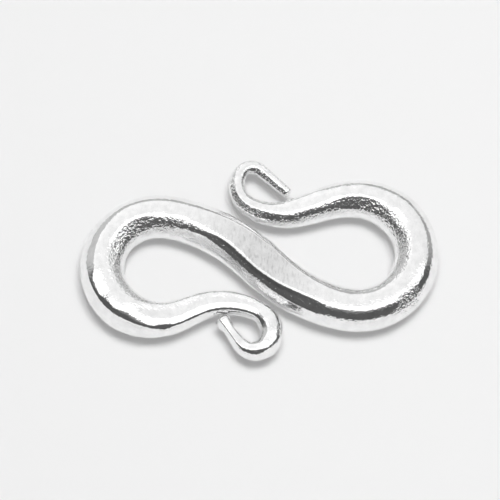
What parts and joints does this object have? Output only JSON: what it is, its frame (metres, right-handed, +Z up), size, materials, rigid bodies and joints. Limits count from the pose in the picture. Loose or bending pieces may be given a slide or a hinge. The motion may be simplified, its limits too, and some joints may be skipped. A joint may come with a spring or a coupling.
{
  "type": "hook clasp",
  "caption": "S-shaped hook clasp for a necklace or bracelet: tapered silver wire with two wide bows, a hammered spine and small reversed curls at the tips.",
  "frame": {"origin": "middle of the spine, on the flat underside that the hook rests on", "axes": "+X along the length of the hook towards its right-hand bow, +Z up out of its upper hammered face"},
  "size_m": [0.022, 0.0132, 0.0026],
  "materials": {
    "silver": "bright polished silver, softly hammered on its faces and finely pitted on its flanks"
  },
  "bodies": {
    "root": {"s_hook": "silver"}
  },
  "joints": []
}
